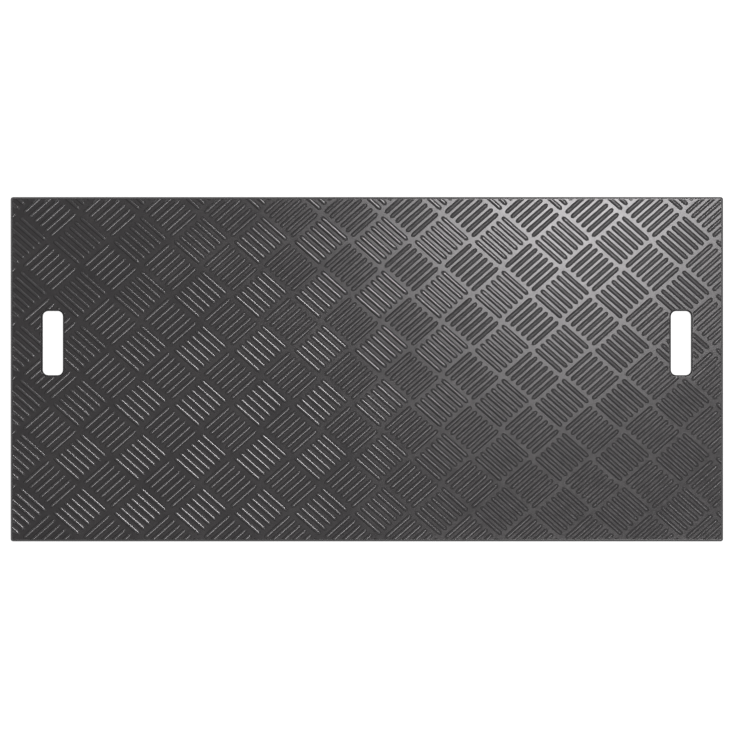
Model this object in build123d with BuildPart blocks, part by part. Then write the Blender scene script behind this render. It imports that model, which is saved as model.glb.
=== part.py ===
"""Ground protection mat: one moulded plastic sheet with a woven tread of short ribs and two hand holes.

Millimetres, +Z up. The origin is the middle of the flat underside, X runs along the mat and Y across it.
"""
import os
from math import ceil, cos, radians, sin

from build123d import *

# Sheet
mat_length = 1200.0
mat_width = 580.0
sheet_thickness = 9.5
corner_radius = 4.0
edge_chamfer = 3.0

# Hand holes, one near each short edge
hand_hole_width = 34.0
hand_hole_length = 108.0
hand_hole_corner = 9.0
hand_hole_to_end = 71.0
hand_hole_off_centre = 44.0
hand_hole_chamfer = 2.5

# One rib of the tread: a ridge with hipped ends
rib_length = 59.2
rib_width = 7.9
rib_height = 2.5
rib_end_slope = 2.6
rib_angle = 41.4

# Tread: blocks of parallel ribs stand in a diamond pattern and lean right and left by turns
ribs_in_block = 6
rib_step_x = 8.9
rib_step_y = 7.9
pattern_pitch_x = 101.4
pattern_pitch_y = 91.2
pattern_shift_x = -26.5
pattern_shift_y = -11.0

# Flat band between a chamfer and the tread, and the shortest piece of a cut rib that is still moulded
plain_band = 1.0
shortest_rib = 8.0

# Half the length and width that a leaning rib takes up on the sheet
reach_x = (rib_length * cos(radians(rib_angle)) + rib_width * sin(radians(rib_angle))) / 2
reach_y = (rib_length * sin(radians(rib_angle)) + rib_width * cos(radians(rib_angle))) / 2

# Half sizes of the rectangle that the tread fills, and of the window it leaves at each hand hole
tread_half_x = mat_length / 2 - edge_chamfer - plain_band
tread_half_y = mat_width / 2 - edge_chamfer - plain_band
window_rim = hand_hole_chamfer + plain_band
window_half_x = hand_hole_width / 2 + window_rim
window_half_y = hand_hole_length / 2 + window_rim


def hand_hole_places():
    """Middles of the two hand holes."""
    from_middle = mat_length / 2 - hand_hole_to_end
    return [(-from_middle, hand_hole_off_centre), (from_middle, hand_hole_off_centre)]


def block_places():
    """Middle of each tread block that can reach the mat, with the side that its ribs lean to."""
    columns = ceil(mat_length / pattern_pitch_x / 2) + 1
    rows = ceil(mat_width / pattern_pitch_y / 2) + 1
    for row in range(-rows, rows + 1):
        for column in range(-columns, columns + 1):
            x = pattern_shift_x + column * pattern_pitch_x
            y = pattern_shift_y + row * pattern_pitch_y
            yield x, y, 1
            yield x + pattern_pitch_x / 2, y + pattern_pitch_y / 2, -1


def rib_places():
    """Middle of each rib that reaches the tread's rectangle, with the side that it leans to."""
    for block_x, block_y, lean in block_places():
        for rib_number in range(ribs_in_block):
            steps = rib_number - (ribs_in_block - 1) / 2
            x = block_x + lean * steps * rib_step_x
            y = block_y - steps * rib_step_y
            if abs(x) < tread_half_x + reach_x and abs(y) < tread_half_y + reach_y:
                yield x, y, lean


def is_whole(x, y):
    """True for a rib that neither the rectangle nor a hand hole's window cuts."""
    if abs(x) > tread_half_x - reach_x or abs(y) > tread_half_y - reach_y:
        return False
    return all(
        abs(x - hole_x) > window_half_x + reach_x or abs(y - hole_y) > window_half_y + reach_y
        for hole_x, hole_y in hand_hole_places()
    )


def on_sheet(x, y, lean):
    """Where a rib stands on the sheet, turned the way it leans."""
    return Location((x, y, sheet_thickness), (0, 0, lean * rib_angle))


# One rib: its side view with the sloping ends, kept only under the ridge of its end view
with BuildPart() as rib:
    with BuildSketch(Plane.XZ):
        with BuildLine():
            Polyline(
                (-rib_length / 2, 0),
                (-rib_length / 2 + rib_end_slope, rib_height),
                (rib_length / 2 - rib_end_slope, rib_height),
                (rib_length / 2, 0),
                close=True,
            )
        make_face()
    extrude(amount=rib_width / 2, both=True)
    with BuildSketch(Plane.YZ):
        with BuildLine():
            Polyline((-rib_width / 2, 0), (0, rib_height), (rib_width / 2, 0), close=True)
        make_face()
    extrude(amount=rib_length / 2, both=True, mode=Mode.INTERSECT)

# The ribs that an edge or a hand hole cuts off, trimmed to the tread's outline
with BuildPart() as cut_ribs:
    with Locations(*[on_sheet(x, y, lean) for x, y, lean in rib_places() if not is_whole(x, y)]):
        add(rib.part)
    with BuildSketch(Plane.XY.offset(sheet_thickness)):
        Rectangle(2 * tread_half_x, 2 * tread_half_y)
        with Locations(*hand_hole_places()):
            RectangleRounded(
                2 * window_half_x, 2 * window_half_y, hand_hole_corner + window_rim, mode=Mode.SUBTRACT
            )
    extrude(amount=rib_height, mode=Mode.INTERSECT)

least_volume = rib.part.volume * shortest_rib / rib_length
tread = cut_ribs.solids().filter_by(lambda piece: piece.volume > least_volume)
tread += [rib.part.moved(on_sheet(x, y, lean)) for x, y, lean in rib_places() if is_whole(x, y)]

# The mat: the sheet with its hand holes and eased top edges, and the tread fused on
with BuildPart() as mat:
    with BuildSketch():
        RectangleRounded(mat_length, mat_width, corner_radius)
        with Locations(*hand_hole_places()):
            RectangleRounded(hand_hole_width, hand_hole_length, hand_hole_corner, mode=Mode.SUBTRACT)
    extrude(amount=sheet_thickness)
    top = mat.faces().sort_by(Axis.Z)[-1]
    chamfer(top.outer_wire().edges(), length=edge_chamfer)
    top = mat.faces().sort_by(Axis.Z)[-1]
    chamfer(top.inner_wires().edges(), length=hand_hole_chamfer)
    add(tread, clean=False)

mat.part.label = "mat"
os.makedirs("parts", exist_ok=True)
export_step(mat.part, "parts/mat.step")
print(f"{len(tread)} ribs, {mat.part.volume / 1e6:.3f} litres of plastic")
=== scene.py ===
"""Dresses the ground protection mat: the moulded sheet with its woven tread, its black recycled
plastic, and a plain white studio seen from straight above. Metres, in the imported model's frame.
"""
from math import atan2, ceil, cos, pi, radians, sin, sqrt, tan

import bmesh
import bpy
from bpy.props import FloatProperty, FloatVectorProperty, IntProperty, PointerProperty
from mathutils import Matrix, Vector


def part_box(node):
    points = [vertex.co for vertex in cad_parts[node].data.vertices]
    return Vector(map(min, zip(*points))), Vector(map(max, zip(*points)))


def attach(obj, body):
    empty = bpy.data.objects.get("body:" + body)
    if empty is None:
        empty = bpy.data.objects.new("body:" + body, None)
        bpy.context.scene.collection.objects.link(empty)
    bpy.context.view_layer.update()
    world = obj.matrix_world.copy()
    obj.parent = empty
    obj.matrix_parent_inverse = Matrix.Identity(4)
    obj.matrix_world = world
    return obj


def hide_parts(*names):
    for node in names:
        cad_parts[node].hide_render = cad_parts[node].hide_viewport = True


bl_info = {
    "name": "Ground protection mat",
    "version": (1, 0, 0),
    "blender": (4, 5, 0),
    "location": "3D View > Sidebar > Ground mat",
    "description": "Moulds a ribbed ground protection mat and lights it in a white studio",
    "category": "Add Mesh",
}

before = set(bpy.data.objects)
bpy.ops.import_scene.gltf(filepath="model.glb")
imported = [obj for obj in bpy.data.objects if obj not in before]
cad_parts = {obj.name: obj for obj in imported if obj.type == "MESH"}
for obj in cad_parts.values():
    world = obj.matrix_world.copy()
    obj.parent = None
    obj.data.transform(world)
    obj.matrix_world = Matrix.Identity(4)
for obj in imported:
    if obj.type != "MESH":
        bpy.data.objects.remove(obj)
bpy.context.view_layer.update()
lowest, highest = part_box("mat")

# Points closer than this are one point, and a point this near a level lies on it
TOUCHING = 2e-6

# Flats round a rounded corner of the mat, and round the end of a rib
CORNER_STEPS = 6

# Creases steeper than this stay sharp
SHARP_ANGLE = radians(30)

# Depths below the top of the sheet where the painted shade of the chamfers, walls and underside begins,
# and where it is full
SIDE_SHADE_START = 0.0001
SIDE_SHADE_FULL = 0.0008


class SheetSizes(bpy.types.PropertyGroup):
    """Sizes of the flat sheet, its edges and its two hand holes."""

    length: FloatProperty(
        name="Length", description="Length of the mat", default=highest.x - lowest.x, unit="LENGTH"
    )
    width: FloatProperty(
        name="Width", description="Width of the mat", default=highest.y - lowest.y, unit="LENGTH"
    )
    height: FloatProperty(
        name="Height",
        description="Height over the tread",
        default=highest.z - lowest.z,
        unit="LENGTH",
    )
    thickness: FloatProperty(
        name="Thickness", description="Thickness between the ribs", default=0.0095, unit="LENGTH"
    )
    corner_radius: FloatProperty(
        name="Corner radius", description="Radius of the four corners", default=0.004, unit="LENGTH"
    )
    edge_chamfer: FloatProperty(
        name="Edge chamfer", description="Chamfer of the top edge", default=0.003, unit="LENGTH"
    )
    underside_rounding: FloatProperty(
        name="Underside rounding",
        description="Rounding of the bottom edges",
        default=0.001,
        unit="LENGTH",
    )
    plain_band: FloatProperty(
        name="Plain band",
        description="Flat band between an edge and the tread",
        default=0.001,
        unit="LENGTH",
    )
    hole_width: FloatProperty(
        name="Hand hole width", description="Width of a hand hole", default=0.034, unit="LENGTH"
    )
    hole_length: FloatProperty(
        name="Hand hole length", description="Length of a hand hole", default=0.108, unit="LENGTH"
    )
    hole_corner: FloatProperty(
        name="Hand hole corner",
        description="Corner radius of a hand hole",
        default=0.009,
        unit="LENGTH",
    )
    hole_to_end: FloatProperty(
        name="Hand hole to end",
        description="Short edge to the middle of its hand hole",
        default=0.071,
        unit="LENGTH",
    )
    hole_off_centre: FloatProperty(
        name="Hand hole off centre",
        description="Long centre line to the middle of a hand hole",
        default=0.044,
        unit="LENGTH",
    )
    hole_chamfer: FloatProperty(
        name="Hand hole chamfer",
        description="Chamfer of a hand hole's top edge",
        default=0.0025,
        unit="LENGTH",
    )
    chamfer_softening: FloatProperty(
        name="Chamfer softening",
        description="Rounding of both edges of a chamfer",
        default=0.0004,
        unit="LENGTH",
    )


class TreadSizes(bpy.types.PropertyGroup):
    """Sizes of one rib, and the diamond pattern that the ribs stand in."""

    rib_length: FloatProperty(
        name="Rib length", description="Length of a rib at its foot", default=0.0592, unit="LENGTH"
    )
    rib_width: FloatProperty(
        name="Rib width", description="Width of a rib at its foot", default=0.0079, unit="LENGTH"
    )
    end_length: FloatProperty(
        name="Rib end", description="Length of a rib's rounded end", default=0.0056, unit="LENGTH"
    )
    crown_radius: FloatProperty(
        name="Crown radius",
        description="Rounding along the top of a rib",
        default=0.0036,
        unit="LENGTH",
    )
    rib_angle: FloatProperty(
        name="Rib angle",
        description="Lean of a rib from the mat's length",
        default=radians(41.4),
        subtype="ANGLE",
    )
    ribs_in_block: IntProperty(
        name="Ribs in a block", description="Parallel ribs in one block", default=6
    )
    step_x: FloatProperty(
        name="Step along", description="Rib to rib along the mat", default=0.0089, unit="LENGTH"
    )
    step_y: FloatProperty(
        name="Step across", description="Rib to rib across the mat", default=0.0079, unit="LENGTH"
    )
    pitch_x: FloatProperty(
        name="Pitch along",
        description="Block to like block along the mat",
        default=0.1014,
        unit="LENGTH",
    )
    pitch_y: FloatProperty(
        name="Pitch across",
        description="Block to like block across the mat",
        default=0.0912,
        unit="LENGTH",
    )
    shift_x: FloatProperty(
        name="Shift along",
        description="Middle of the mat to a block that leans right",
        default=-0.0265,
        unit="LENGTH",
    )
    shift_y: FloatProperty(
        name="Shift across",
        description="Middle of the mat to a block that leans right",
        default=-0.0110,
        unit="LENGTH",
    )


class PlasticLook(bpy.types.PropertyGroup):
    """Colours and surface of the moulded plastic."""

    colour: FloatVectorProperty(
        name="Colour",
        description="Charcoal black of the plastic",
        subtype="COLOR",
        default=(0.0385, 0.0369, 0.0378),
    )
    # Painted shade: a darker colour for the chamfers, walls and underside, standing in for their shade
    side_shade_colour: FloatVectorProperty(
        name="Side shade colour",
        description="Painted shade on the sides and underside",
        subtype="COLOR",
        default=(0.022, 0.021, 0.022),
    )
    dust_colour: FloatVectorProperty(
        name="Dust colour",
        description="Pale dust in the grooves",
        subtype="COLOR",
        default=(0.16, 0.15, 0.14),
    )
    scuff_colour: FloatVectorProperty(
        name="Scuff colour",
        description="Greyed plastic on the crowns",
        subtype="COLOR",
        default=(0.075, 0.074, 0.075),
    )
    roughness: FloatProperty(
        name="Roughness", description="Roughness of the moulded skin", default=0.165, min=0, max=1
    )
    roughness_drift: FloatProperty(
        name="Roughness drift",
        description="How far the roughness wanders from its middle with the clouds",
        default=0.05,
    )
    grain_size: FloatProperty(
        name="Grain size",
        description="Size of the fine moulding grain",
        default=0.0009,
        unit="LENGTH",
    )
    grain_depth: FloatProperty(
        name="Grain depth", description="Depth of the moulding grain", default=0.0001, unit="LENGTH"
    )
    cloud_lift: FloatProperty(
        name="Cloud lift",
        description="How much paler the palest clouds of the plastic are",
        default=1.35,
    )
    dust_amount: FloatProperty(
        name="Dust", description="Share of dust between the ribs", default=0.18, min=0, max=1
    )
    dust_dulling: FloatProperty(
        name="Dust dulling", description="How much rougher full dust makes the skin", default=0.3
    )
    dust_rise: FloatProperty(
        name="Dust rise", description="How far dust climbs a rib", default=0.0008, unit="LENGTH"
    )
    scuff_amount: FloatProperty(
        name="Scuffs", description="Share of scuffs on the crowns", default=0.5, min=0, max=1
    )
    scuff_drop: FloatProperty(
        name="Scuff drop",
        description="How far scuffs reach down from a crown",
        default=0.0006,
        unit="LENGTH",
    )


class StudioSettings(bpy.types.PropertyGroup):
    """Camera, lamps and floor."""

    camera_height: FloatProperty(
        name="Camera height", description="Camera above the tread", default=5.0, unit="LENGTH"
    )
    camera_aside: FloatVectorProperty(
        name="Camera aside",
        description="Camera from the middle of the mat",
        size=2,
        default=(0.001, 0.0029),
    )
    view_width: FloatProperty(
        name="View width",
        description="Width of floor in the picture",
        default=1.2367,
        unit="LENGTH",
    )
    floor_size: FloatProperty(
        name="Floor size", description="Middle of the floor to its edge", default=40, unit="LENGTH"
    )
    floor_gap: FloatProperty(
        name="Floor gap",
        description="Gap between the mat and the floor",
        default=0.0002,
        unit="LENGTH",
    )
    key_place: FloatVectorProperty(
        name="Key place",
        description="Middle of the bright softbox",
        subtype="XYZ",
        default=(1.07, 1.55, 4.2),
    )
    key_width: FloatProperty(
        name="Key width",
        description="Level side of the bright softbox",
        default=0.75,
        unit="LENGTH",
    )
    key_depth: FloatProperty(
        name="Key depth",
        description="Tilted side of the bright softbox",
        default=1.3,
        unit="LENGTH",
    )
    key_power: FloatProperty(
        name="Key power", description="Power of the bright softbox in watts", default=71
    )
    halo_place: FloatVectorProperty(
        name="Halo place",
        description="Middle of the large panel overhead that makes the glow",
        subtype="XYZ",
        default=(0.8, 0.7, 6.9),
    )
    halo_size: FloatProperty(
        name="Halo size", description="Side of the large panel overhead", default=1.22, unit="LENGTH"
    )
    halo_power: FloatProperty(
        name="Halo power", description="Power of the large panel overhead in watts", default=29
    )
    core_place: FloatVectorProperty(
        name="Core place",
        description="Middle of the small panel that brightens the glow",
        subtype="XYZ",
        default=(0.84, 0.82, 6.9),
    )
    core_size: FloatProperty(
        name="Core size", description="Side of the small panel overhead", default=0.8, unit="LENGTH"
    )
    core_power: FloatProperty(
        name="Core power", description="Power of the small panel overhead in watts", default=14
    )
    fill_place: FloatVectorProperty(
        name="Fill place",
        description="Middle of the wide dim softbox",
        subtype="XYZ",
        default=(0.75, -1.75, 4.8),
    )
    fill_size: FloatProperty(
        name="Fill size", description="Side of the wide dim softbox", default=1.5, unit="LENGTH"
    )
    fill_power: FloatProperty(
        name="Fill power", description="Power of the wide dim softbox in watts", default=58
    )
    lamp_colour: FloatVectorProperty(
        name="Lamp colour",
        description="Colour of all four lamps",
        subtype="COLOR",
        default=(1, 0.972, 0.987),
    )
    wall_light: FloatProperty(
        name="Wall light", description="Strength of the pale walls", default=0.47
    )
    ceiling_light: FloatProperty(
        name="Ceiling light", description="Strength of the dark ceiling", default=0.055
    )
    low_light: FloatProperty(
        name="Low light", description="Strength of the walls down by the floor", default=0.06
    )


def hand_hole_places(sheet):
    """Middles of the two hand holes."""
    from_middle = sheet.length / 2 - sheet.hole_to_end
    return [(-from_middle, sheet.hole_off_centre), (from_middle, sheet.hole_off_centre)]


def half_section(tread, rise):
    """Points of half a rib's section, from the top of its crown to its foot, as (sideways, up)."""
    reach = tread.rib_width / 2
    radius = tread.crown_radius
    flank = sqrt(reach**2 + (rise - radius) ** 2 - radius**2)
    slope = atan2(rise - radius, reach) + atan2(radius, flank)
    for turn in (0, slope / 3, 2 * slope / 3, slope):
        yield radius * sin(turn), rise - radius * (1 - cos(turn))
    yield reach, 0


def make_rib(tread, rise):
    """One rib along X: half its section is spun round one end, mirrored, and drawn out in between."""
    rib = bmesh.new()
    end = tread.rib_length / 2 - tread.end_length
    chain = [rib.verts.new((end, side, up)) for side, up in half_section(tread, rise)]
    section = [rib.edges.new(pair) for pair in zip(chain, chain[1:])]
    bmesh.ops.spin(
        rib, geom=chain + section, cent=(end, 0, 0), axis=(0, 0, 1), angle=-pi, steps=CORNER_STEPS
    )
    bmesh.ops.remove_doubles(rib, verts=rib.verts[:], dist=TOUCHING)
    bmesh.ops.scale(
        rib,
        verts=rib.verts[:],
        vec=(2 * tread.end_length / tread.rib_width, 1, 1),
        space=Matrix.Translation((-end, 0, 0)),
    )
    bmesh.ops.mirror(rib, geom=rib.verts[:] + rib.edges[:] + rib.faces[:], merge_dist=0, axis="X")
    across = [
        e for e in rib.edges if e.is_boundary and all(abs(v.co.x - end) < TOUCHING for v in e.verts)
    ]
    drawn = bmesh.ops.extrude_edge_only(rib, edges=across)["geom"]
    moved = [v for v in drawn if isinstance(v, bmesh.types.BMVert)]
    bmesh.ops.translate(rib, verts=moved, vec=(-2 * end, 0, 0))
    bmesh.ops.remove_doubles(rib, verts=rib.verts[:], dist=TOUCHING)
    return as_mesh(rib, "rib")


def as_mesh(shape, name):
    """Turns a finished bmesh into a mesh."""
    bmesh.ops.recalc_face_normals(shape, faces=shape.faces[:])
    mesh = bpy.data.meshes.new(name)
    shape.to_mesh(mesh)
    shape.free()
    return mesh


def add_copy(shape, mesh, place):
    """Adds a copy of a mesh at a place to a bmesh."""
    copy = mesh.copy()
    copy.transform(place)
    shape.from_mesh(copy)
    bpy.data.meshes.remove(copy)


def make_block(tread, rise):
    """One diamond cell of the tread: its leaning ribs, and the floor that is left between them."""
    rib = make_rib(tread, rise)
    block = bmesh.new()
    for number in range(tread.ribs_in_block):
        steps = number - (tread.ribs_in_block - 1) / 2
        middle = Matrix.Translation((steps * tread.step_x, -steps * tread.step_y, 0))
        add_copy(block, rib, middle @ Matrix.Rotation(tread.rib_angle, 4, "Z"))
    bpy.data.meshes.remove(rib)
    right, top = tread.pitch_x / 2, tread.pitch_y / 2
    diamond = ((right, 0, 0), (0, top, 0), (-right, 0, 0), (0, -top, 0))
    corners = [block.verts.new(place) for place in diamond]
    for pair in zip(corners, corners[1:] + corners[:1]):
        block.edges.new(pair)
    fill_between(block, [e for e in block.edges if e.is_boundary or e.is_wire])
    return as_mesh(block, "block")


def fill_between(shape, edges):
    """Fills the level area between closed rings of edges."""
    bmesh.ops.triangle_fill(shape, use_beauty=True, use_dissolve=False, edges=edges, normal=(0, 0, 1))


def lay_blocks(tread, sheet, rise):
    """All the blocks that reach the mat, leaning right and left by turns, at the sheet's level."""
    right_block = make_block(tread, rise)
    left_block = right_block.copy()
    left_block.transform(Matrix.Scale(-1, 4, (1, 0, 0)))
    left_block.flip_normals()
    columns = ceil(sheet.length / tread.pitch_x / 2) + 1
    rows = ceil(sheet.width / tread.pitch_y / 2) + 1
    laid = bmesh.new()
    for row in range(-rows, rows + 1):
        for column in range(-columns, columns + 1):
            x = tread.shift_x + column * tread.pitch_x
            y = tread.shift_y + row * tread.pitch_y
            for block, over in ((right_block, 0), (left_block, 0.5)):
                middle = (x + over * tread.pitch_x, y + over * tread.pitch_y, sheet.thickness)
                beyond_x = abs(middle[0]) - sheet.length / 2 > tread.pitch_x / 2
                beyond_y = abs(middle[1]) - sheet.width / 2 > tread.pitch_y / 2
                if not beyond_x and not beyond_y:
                    add_copy(laid, block, Matrix.Translation(middle))
    bmesh.ops.remove_doubles(laid, verts=laid.verts[:], dist=TOUCHING)
    bpy.data.meshes.remove(right_block)
    bpy.data.meshes.remove(left_block)
    return laid


def trim_sides(laid, half_x, half_y):
    """Cuts the tread off at the sides of a rectangle."""
    for out in ((1, 0, 0), (-1, 0, 0), (0, 1, 0), (0, -1, 0)):
        side = Vector((out[0] * half_x, out[1] * half_y, 0))
        bmesh.ops.bisect_plane(
            laid,
            geom=laid.verts[:] + laid.edges[:] + laid.faces[:],
            dist=TOUCHING,
            plane_co=side,
            plane_no=out,
            clear_outer=True,
        )


def rounded_rectangle(half_x, half_y, corner, steps):
    """Corner points of a rounded rectangle, in order round it."""
    for quarter, (side_x, side_y) in enumerate(((1, 1), (-1, 1), (-1, -1), (1, -1))):
        for step in range(steps + 1):
            turn = (quarter + step / steps) * pi / 2
            yield Vector((
                side_x * (half_x - corner) + corner * cos(turn),
                side_y * (half_y - corner) + corner * sin(turn),
                0,
            ))


def unique(elements):
    """Drops doubles and keeps the order, which a set would leave to chance."""
    return list(dict.fromkeys(elements))


def reaches_into(face, centre, half_x, half_y):
    """True for a face whose own width and length reach into a rectangle."""
    xs = [v.co.x - centre.x for v in face.verts]
    ys = [v.co.y - centre.y for v in face.verts]
    return min(xs) < half_x and max(xs) > -half_x and min(ys) < half_y and max(ys) > -half_y


def cut_window(laid, middle, half_x, half_y, corner):
    """Cuts the tread away inside a rounded rectangle, one straight side after the other."""
    centre = Vector((*middle, 0))
    outline = list(rounded_rectangle(half_x, half_y, corner, CORNER_STEPS))
    inside = [f for f in laid.faces if reaches_into(f, centre, half_x, half_y)]
    for start, end in zip(outline, outline[1:] + outline[:1]):
        along = end - start
        out = Vector((along.y, -along.x, 0)).normalized()
        side = centre + start
        edges = unique(e for f in inside for e in f.edges)
        verts = unique(v for f in inside for v in f.verts)
        made = bmesh.ops.bisect_plane(
            laid, geom=verts + edges + inside, dist=TOUCHING, plane_co=side, plane_no=out
        )
        pieces = unique(g for g in made["geom"] if isinstance(g, bmesh.types.BMFace))
        inside = [f for f in pieces if (f.calc_center_median() - side).dot(out) < 0]
    bmesh.ops.delete(laid, geom=inside, context="FACES")


def close_cut_ribs(laid, level):
    """Draws the cut ends of the ribs straight down to the sheet's level."""
    raised = [
        e for e in laid.edges if e.is_boundary and max(v.co.z for v in e.verts) > level + TOUCHING
    ]
    drawn = bmesh.ops.extrude_edge_only(laid, edges=raised)["geom"]
    for vert in drawn:
        if isinstance(vert, bmesh.types.BMVert):
            vert.co.z = level
    rim = [v for e in laid.edges if e.is_boundary for v in e.verts]
    feet = [v for e in raised if e.is_valid for v in e.verts]
    bmesh.ops.remove_doubles(laid, verts=unique(rim + feet), dist=TOUCHING)


def add_ring(shape, middle, half_x, half_y, corner, up):
    """Adds a ring of edges round a rounded rectangle and returns its edges."""
    corners = bmesh.ops.create_grid(shape, x_segments=1, y_segments=1, size=1)["verts"]
    bmesh.ops.scale(shape, vec=(half_x, half_y, 1), verts=corners)
    bmesh.ops.translate(shape, vec=(*middle, up), verts=corners)
    rounded = bmesh.ops.bevel(
        shape,
        geom=corners,
        offset=corner,
        affect="VERTICES",
        segments=CORNER_STEPS,
        profile=0.5,
        material=-1,
    )
    plate = rounded["verts"][0].link_faces[0]
    ring = list(plate.edges)
    bmesh.ops.delete(shape, geom=[plate], context="FACES_ONLY")
    return ring


def edge_rings(sheet, chamfer):
    """Each ring of a chamfered wall, from the top round it to the underside, as (step in, up)."""
    level, soft, under = sheet.thickness, sheet.chamfer_softening, sheet.underside_rounding
    taken = soft * tan(pi / 8)
    for turn in (0, pi / 8, pi / 4):
        yield chamfer + taken - soft * sin(turn), level - soft * (1 - cos(turn))
    for turn in (pi / 4, pi / 8, 0):
        yield soft * (1 - cos(turn)), level - chamfer - taken + soft * sin(turn)
    for turn in (0, pi / 4, pi / 2):
        yield under * (1 - cos(turn)), under * (1 - sin(turn))


def add_wall(shape, rings):
    """Bridges rings of edges one after the other."""
    for above, below in zip(rings, rings[1:]):
        bmesh.ops.bridge_loops(shape, edges=above + below)


def mould_mat(sheet, tread):
    """The whole mat as one closed skin."""
    level = sheet.thickness
    tread_half_x = sheet.length / 2 - sheet.edge_chamfer - sheet.plain_band
    tread_half_y = sheet.width / 2 - sheet.edge_chamfer - sheet.plain_band
    window_rim = sheet.hole_chamfer + sheet.plain_band
    window_half_x = sheet.hole_width / 2 + window_rim
    window_half_y = sheet.hole_length / 2 + window_rim

    skin = lay_blocks(tread, sheet, sheet.height - sheet.thickness)
    trim_sides(skin, tread_half_x, tread_half_y)
    for middle in hand_hole_places(sheet):
        cut_window(skin, middle, window_half_x, window_half_y, sheet.hole_corner + window_rim)
    close_cut_ribs(skin, level)
    rims = [e for e in skin.edges if e.is_boundary]

    outer = [
        add_ring(
            skin,
            (0, 0),
            sheet.length / 2 - inward,
            sheet.width / 2 - inward,
            sheet.corner_radius - inward,
            up,
        )
        for inward, up in edge_rings(sheet, sheet.edge_chamfer)
    ]
    add_wall(skin, outer)
    underside = list(outer[-1])
    window_rims = []
    for middle in hand_hole_places(sheet):
        walls = [
            add_ring(
                skin,
                middle,
                sheet.hole_width / 2 + inward,
                sheet.hole_length / 2 + inward,
                sheet.hole_corner + inward,
                up,
            )
            for inward, up in edge_rings(sheet, sheet.hole_chamfer)
        ]
        add_wall(skin, walls)
        underside += walls[-1]
        near = [
            e
            for e in rims
            if abs(e.verts[0].co.x - middle[0]) < window_half_x + TOUCHING
            and abs(e.verts[0].co.y - middle[1]) < window_half_y + TOUCHING
        ]
        window_rims.append(near + walls[0])
    at_windows = {e for ring in window_rims for e in ring}
    fill_between(skin, outer[0] + [e for e in rims if e not in at_windows])
    for ring in window_rims:
        fill_between(skin, ring)
    fill_between(skin, underside)
    return as_mesh(skin, "moulded_mat")


def add_node(tree, kind, place, values=None, **settings):
    """Adds a node at a place, with values for its inputs by name or number, and its settings."""
    node = tree.nodes.new(kind)
    node.location = place
    for name, value in settings.items():
        setattr(node, name, value)
    for socket, value in (values or {}).items():
        node.inputs[socket].default_value = value
    return node


def new_group(name, inputs, outputs):
    """An empty shader node group with its own inputs and outputs."""
    group = bpy.data.node_groups.new(name, "ShaderNodeTree")
    for socket, kind, default in inputs:
        made = group.interface.new_socket(name=socket, in_out="INPUT", socket_type=kind)
        if default is not None:
            made.default_value = default
    for socket, kind in outputs:
        group.interface.new_socket(name=socket, in_out="OUTPUT", socket_type=kind)
    return group


def grain_group():
    """Moulding grain: a fine pebbled skin with broad sink marks, and a cloudy mask for its colour."""
    group = new_group(
        "Moulding grain",
        [("Vector", "NodeSocketVector", None), ("Grain Scale", "NodeSocketFloat", 1000.0)],
        [("Height", "NodeSocketFloat"), ("Cloud", "NodeSocketFloat")],
    )
    into = add_node(group, "NodeGroupInput", (-700, 0))
    out = add_node(group, "NodeGroupOutput", (400, 0))
    pebbles = add_node(group, "ShaderNodeTexNoise", (-400, 200), {"Detail": 3})
    sinks = add_node(group, "ShaderNodeTexNoise", (-400, -50), {"Scale": 14, "Detail": 1})
    cloud = add_node(
        group, "ShaderNodeTexNoise", (-400, -300), {"Scale": 60, "Detail": 6, "Roughness": 0.65}
    )
    # Sink marks are three times as deep as the pebbles
    deep = add_node(group, "ShaderNodeMath", (-100, -50), {1: 3}, operation="MULTIPLY")
    total = add_node(group, "ShaderNodeMath", (150, 100), operation="ADD")
    links = group.links
    for texture in (pebbles, sinks, cloud):
        links.new(into.outputs["Vector"], texture.inputs["Vector"])
    links.new(into.outputs["Grain Scale"], pebbles.inputs["Scale"])
    links.new(sinks.outputs["Fac"], deep.inputs[0])
    links.new(pebbles.outputs["Fac"], total.inputs[0])
    links.new(deep.outputs["Value"], total.inputs[1])
    links.new(total.outputs["Value"], out.inputs["Height"])
    links.new(cloud.outputs["Fac"], out.inputs["Cloud"])
    return group


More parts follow.
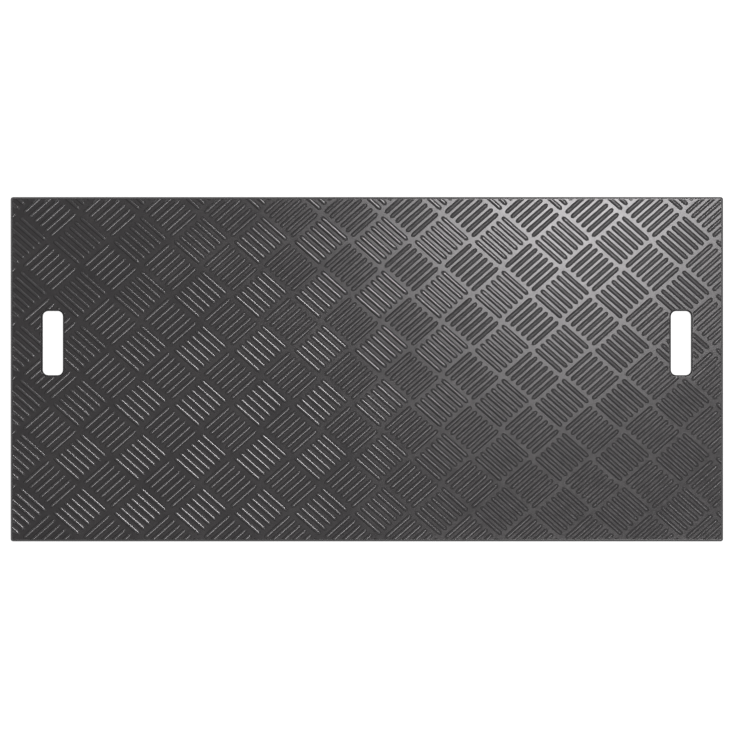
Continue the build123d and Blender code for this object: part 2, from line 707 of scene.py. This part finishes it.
def height_mask_group():
    """Level mask: full at one height, nothing at the other, broken up by patches and fine specks."""
    group = new_group(
        "Patchy level mask",
        [
            ("Vector", "NodeSocketVector", None),
            ("None At", "NodeSocketFloat", 0.0),
            ("Full At", "NodeSocketFloat", 1.0),
            ("Patch Scale", "NodeSocketFloat", 20.0),
            ("Speck Scale", "NodeSocketFloat", 900.0),
            ("Amount", "NodeSocketFloat", 0.5),
        ],
        [("Mask", "NodeSocketFloat")],
    )
    into = add_node(group, "NodeGroupInput", (-900, 0))
    out = add_node(group, "NodeGroupOutput", (700, 0))
    split = add_node(group, "ShaderNodeSeparateXYZ", (-650, 250))
    level = add_node(group, "ShaderNodeMapRange", (-350, 250), interpolation_type="SMOOTHSTEP")
    patches = add_node(group, "ShaderNodeTexNoise", (-650, 0), {"Detail": 4})
    patchy = add_node(group, "ShaderNodeMapRange", (-350, 0), {"From Min": 0.35, "From Max": 0.7})
    specks = add_node(group, "ShaderNodeTexNoise", (-650, -250), {"Detail": 2})
    speckled = add_node(group, "ShaderNodeMapRange", (-350, -250), {"From Min": 0.45, "From Max": 0.62})
    broken = add_node(group, "ShaderNodeMath", (0, -100), operation="MULTIPLY")
    levelled = add_node(group, "ShaderNodeMath", (200, 100), operation="MULTIPLY")
    weighed = add_node(group, "ShaderNodeMath", (450, 0), operation="MULTIPLY")
    links = group.links
    links.new(into.outputs["Vector"], split.inputs["Vector"])
    links.new(into.outputs["Vector"], patches.inputs["Vector"])
    links.new(into.outputs["Vector"], specks.inputs["Vector"])
    links.new(into.outputs["Patch Scale"], patches.inputs["Scale"])
    links.new(into.outputs["Speck Scale"], specks.inputs["Scale"])
    links.new(split.outputs["Z"], level.inputs["Value"])
    links.new(into.outputs["None At"], level.inputs["From Min"])
    links.new(into.outputs["Full At"], level.inputs["From Max"])
    links.new(patches.outputs["Fac"], patchy.inputs["Value"])
    links.new(specks.outputs["Fac"], speckled.inputs["Value"])
    links.new(patchy.outputs["Result"], broken.inputs[0])
    links.new(speckled.outputs["Result"], broken.inputs[1])
    links.new(level.outputs["Result"], levelled.inputs[0])
    links.new(broken.outputs["Value"], levelled.inputs[1])
    links.new(levelled.outputs["Value"], weighed.inputs[0])
    links.new(into.outputs["Amount"], weighed.inputs[1])
    links.new(weighed.outputs["Value"], out.inputs["Mask"])
    return group


def mix_colour(tree, place, mask, first, second):
    """Mixes two colours by a mask; each is a socket or a plain colour."""
    mix = add_node(tree, "ShaderNodeMix", place, data_type="RGBA")
    tree.links.new(mask, mix.inputs[0])
    for number, colour in ((6, first), (7, second)):
        if isinstance(colour, bpy.types.NodeSocket):
            tree.links.new(colour, mix.inputs[number])
        else:
            mix.inputs[number].default_value = (*colour, 1)
    return mix.outputs[2]


def plastic_material(look, sheet):
    """Charcoal black recycled plastic with a fine moulded skin, dusty grooves, greyed crowns and
    painted shade on its sides.
    """
    material = bpy.data.materials.new("recycled_plastic")
    material.use_nodes = True
    tree = material.node_tree
    links = tree.links
    shader = tree.nodes["Principled BSDF"]
    place = add_node(tree, "ShaderNodeTexCoord", (-1500, 0)).outputs["Object"]

    grain_values = {"Grain Scale": 1 / look.grain_size}
    dust_values = {
        "None At": sheet.thickness + look.dust_rise,
        "Full At": sheet.thickness,
        "Patch Scale": 9,
        "Speck Scale": 1500,
        "Amount": look.dust_amount,
    }
    scuff_values = {
        "None At": sheet.height - look.scuff_drop,
        "Full At": sheet.height - look.scuff_drop / 6,
        "Patch Scale": 25,
        "Speck Scale": 700,
        "Amount": look.scuff_amount,
    }
    masks = height_mask_group()
    grain = add_node(tree, "ShaderNodeGroup", (-1200, -300), grain_values, node_tree=grain_group())
    dust = add_node(tree, "ShaderNodeGroup", (-1200, 0), dust_values, node_tree=masks)
    scuffs = add_node(tree, "ShaderNodeGroup", (-1200, 300), scuff_values, node_tree=masks)
    for effect in (grain, dust, scuffs):
        links.new(place, effect.inputs["Vector"])

    pale = tuple(look.cloud_lift * c for c in look.colour)
    clouded = mix_colour(tree, (-900, 0), grain.outputs["Cloud"], tuple(look.colour), pale)
    dusty = mix_colour(tree, (-650, 0), dust.outputs["Mask"], clouded, tuple(look.dust_colour))
    scuffed = mix_colour(tree, (-400, 0), scuffs.outputs["Mask"], dusty, tuple(look.scuff_colour))
    # Painted shade: below the top of the sheet, the chamfers, walls and underside turn to a darker
    # colour
    height = add_node(tree, "ShaderNodeSeparateXYZ", (-1200, 600))
    side_shade_range = {"From Min": sheet.thickness - SIDE_SHADE_START, "From Max": sheet.thickness - SIDE_SHADE_FULL}
    side = add_node(tree, "ShaderNodeMapRange", (-900, 600), side_shade_range)
    links.new(place, height.inputs["Vector"])
    links.new(height.outputs["Z"], side.inputs["Value"])
    side_shade = tuple(look.side_shade_colour)
    coloured = mix_colour(tree, (-150, 0), side.outputs["Result"], scuffed, side_shade)
    links.new(coloured, shader.inputs["Base Color"])
    shader.inputs["IOR"].default_value = 1.54
    shader.inputs["Specular IOR Level"].default_value = 0.66

    roughness_range = {
        "To Min": look.roughness - look.roughness_drift,
        "To Max": look.roughness + look.roughness_drift,
    }
    gloss = add_node(tree, "ShaderNodeMapRange", (-650, -300), roughness_range)
    dull = add_node(
        tree, "ShaderNodeMath", (-400, -300), {1: look.dust_dulling}, operation="MULTIPLY_ADD"
    )
    links.new(grain.outputs["Cloud"], gloss.inputs["Value"])
    links.new(dust.outputs["Mask"], dull.inputs[0])
    links.new(gloss.outputs["Result"], dull.inputs[2])
    links.new(dull.outputs["Value"], shader.inputs["Roughness"])

    bump = add_node(
        tree, "ShaderNodeBump", (-400, -550), {"Strength": 0.03, "Distance": look.grain_depth}
    )
    links.new(grain.outputs["Height"], bump.inputs["Height"])
    links.new(bump.outputs["Normal"], shader.inputs["Normal"])
    return material


def floor_material():
    """White floor: lit as plain white, and a little brighter than lit to the camera and in shine."""
    material = bpy.data.materials.new("white_floor")
    material.use_nodes = True
    tree = material.node_tree
    links = tree.links
    tree.nodes.remove(tree.nodes["Principled BSDF"])
    output = tree.nodes["Material Output"]
    rays = add_node(tree, "ShaderNodeLightPath", (-900, 300))
    seen = add_node(tree, "ShaderNodeMath", (-650, 300), operation="ADD")
    seen_through = add_node(tree, "ShaderNodeMath", (-450, 300), operation="ADD", use_clamp=True)
    lit = add_node(tree, "ShaderNodeBsdfDiffuse", (-450, 0), {"Color": (0.8, 0.8, 0.8, 1)})
    shaded = add_node(tree, "ShaderNodeBsdfDiffuse", (-450, -150), {"Color": (0.3, 0.3, 0.3, 1)})
    glow = add_node(tree, "ShaderNodeEmission", (-450, -300), {"Strength": 0.88})
    bright = add_node(tree, "ShaderNodeAddShader", (-200, -200))
    choice = add_node(tree, "ShaderNodeMixShader", (0, 0))
    links.new(rays.outputs["Is Camera Ray"], seen.inputs[0])
    links.new(rays.outputs["Is Glossy Ray"], seen.inputs[1])
    links.new(seen.outputs["Value"], seen_through.inputs[0])
    links.new(rays.outputs["Is Transmission Ray"], seen_through.inputs[1])
    links.new(shaded.outputs["BSDF"], bright.inputs[0])
    links.new(glow.outputs["Emission"], bright.inputs[1])
    links.new(seen_through.outputs["Value"], choice.inputs["Fac"])
    links.new(lit.outputs["BSDF"], choice.inputs[1])
    links.new(bright.outputs["Shader"], choice.inputs[2])
    links.new(choice.outputs["Shader"], output.inputs["Surface"])
    return material


class MouldMat(bpy.types.Operator):
    """Mould the mat with its woven tread and give it its plastic"""

    bl_idname = "ground_mat.mould_mat"
    bl_label = "Mould the mat"

    def execute(self, context):
        scene = context.scene
        mesh = mould_mat(scene.mat_sheet, scene.mat_tread)
        mesh.shade_smooth()
        mesh.set_sharp_from_angle(angle=SHARP_ANGLE)
        mesh.materials.append(plastic_material(scene.mat_plastic, scene.mat_sheet))
        mat = bpy.data.objects.new("moulded_mat", mesh)
        scene.collection.objects.link(mat)
        weighted = mat.modifiers.new("Weighted normals", "WEIGHTED_NORMAL")
        weighted.mode = "FACE_AREA"
        weighted.keep_sharp = True
        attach(mat, "root")
        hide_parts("mat")
        return {"FINISHED"}


def add_softbox(scene, name, place, width, depth, power, colour):
    """A rectangular lamp that faces the middle of the mat."""
    lamp = bpy.data.lights.new(name, "AREA")
    lamp.shape = "RECTANGLE"
    lamp.size = width
    lamp.size_y = depth
    lamp.energy = power
    lamp.color = colour
    holder = bpy.data.objects.new(name, lamp)
    holder.location = place
    holder.rotation_euler = (-Vector(place)).to_track_quat("-Z", "Y").to_euler()
    scene.collection.objects.link(holder)


def grey_room(studio):
    """Surroundings: pale walls all round, darker down by the floor and darkest at the ceiling."""
    world = bpy.data.worlds.new("grey_room")
    world.use_nodes = True
    tree = world.node_tree
    sky = tree.nodes["Background"]
    place = add_node(tree, "ShaderNodeTexCoord", (-800, 0)).outputs["Generated"]
    split = add_node(tree, "ShaderNodeSeparateXYZ", (-600, 0))
    above_floor = add_node(
        tree,
        "ShaderNodeMapRange",
        (-400, 150),
        {"From Min": 0.1, "From Max": 0.5, "To Min": studio.low_light, "To Max": studio.wall_light},
        interpolation_type="SMOOTHSTEP",
    )
    below_ceiling = add_node(
        tree,
        "ShaderNodeMapRange",
        (-400, -150),
        {"From Min": 0.95, "From Max": 0.75, "To Min": studio.ceiling_light / studio.wall_light},
        interpolation_type="SMOOTHSTEP",
    )
    strength = add_node(tree, "ShaderNodeMath", (-200, 0), operation="MULTIPLY")
    tree.links.new(place, split.inputs["Vector"])
    tree.links.new(split.outputs["Z"], above_floor.inputs["Value"])
    tree.links.new(split.outputs["Z"], below_ceiling.inputs["Value"])
    tree.links.new(above_floor.outputs["Result"], strength.inputs[0])
    tree.links.new(below_ceiling.outputs["Result"], strength.inputs[1])
    tree.links.new(strength.outputs["Value"], sky.inputs["Strength"])
    sky.inputs["Color"].default_value = (1, 1, 1, 1)
    return world


class SetStudio(bpy.types.Operator):
    """Set up the white floor, the four softboxes, the grey room and the camera above the mat"""

    bl_idname = "ground_mat.set_studio"
    bl_label = "Set up the studio"

    def execute(self, context):
        scene = context.scene
        studio = scene.mat_studio
        plane = bmesh.new()
        bmesh.ops.create_grid(plane, x_segments=1, y_segments=1, size=studio.floor_size)
        bmesh.ops.translate(plane, verts=plane.verts[:], vec=(0, 0, -studio.floor_gap))
        floor = bpy.data.objects.new("floor", as_mesh(plane, "floor"))
        floor.data.materials.append(floor_material())
        scene.collection.objects.link(floor)

        lamps = {
            "key_softbox": (studio.key_place, studio.key_width, studio.key_depth, studio.key_power),
            "halo": (studio.halo_place, studio.halo_size, studio.halo_size, studio.halo_power),
            "halo_core": (studio.core_place, studio.core_size, studio.core_size, studio.core_power),
            "fill_softbox": (studio.fill_place, studio.fill_size, studio.fill_size, studio.fill_power),
        }
        for name, (place, width, depth, power) in lamps.items():
            add_softbox(scene, name, place, width, depth, power, studio.lamp_colour)
        scene.world = grey_room(studio)

        camera = bpy.data.cameras.new("camera")
        camera.lens = camera.sensor_width * studio.camera_height / studio.view_width
        holder = bpy.data.objects.new("camera", camera)
        holder.location = (*studio.camera_aside, scene.mat_sheet.height + studio.camera_height)
        scene.collection.objects.link(holder)
        scene.camera = holder
        scene.view_settings.view_transform = "Standard"
        return {"FINISHED"}


class GroundMatPanel(bpy.types.Panel):
    """Lists the steps that make the mat and its studio"""

    bl_idname = "VIEW3D_PT_ground_mat"
    bl_label = "Ground mat"
    bl_space_type = "VIEW_3D"
    bl_region_type = "UI"
    bl_category = "Ground mat"

    def draw(self, context):
        for step in STEPS:
            self.layout.operator(step.bl_idname)


SETTINGS = {
    "mat_sheet": SheetSizes,
    "mat_tread": TreadSizes,
    "mat_plastic": PlasticLook,
    "mat_studio": StudioSettings,
}
STEPS = (MouldMat, SetStudio)


def register():
    for kind in (*SETTINGS.values(), *STEPS, GroundMatPanel):
        bpy.utils.register_class(kind)
    for name, kind in SETTINGS.items():
        setattr(bpy.types.Scene, name, PointerProperty(type=kind))


def unregister():
    for name in SETTINGS:
        delattr(bpy.types.Scene, name)
    for kind in (GroundMatPanel, *reversed(STEPS), *reversed(SETTINGS.values())):
        bpy.utils.unregister_class(kind)


def main():
    register()
    bpy.ops.ground_mat.mould_mat()
    bpy.ops.ground_mat.set_studio()


if __name__ == "__main__":
    main()
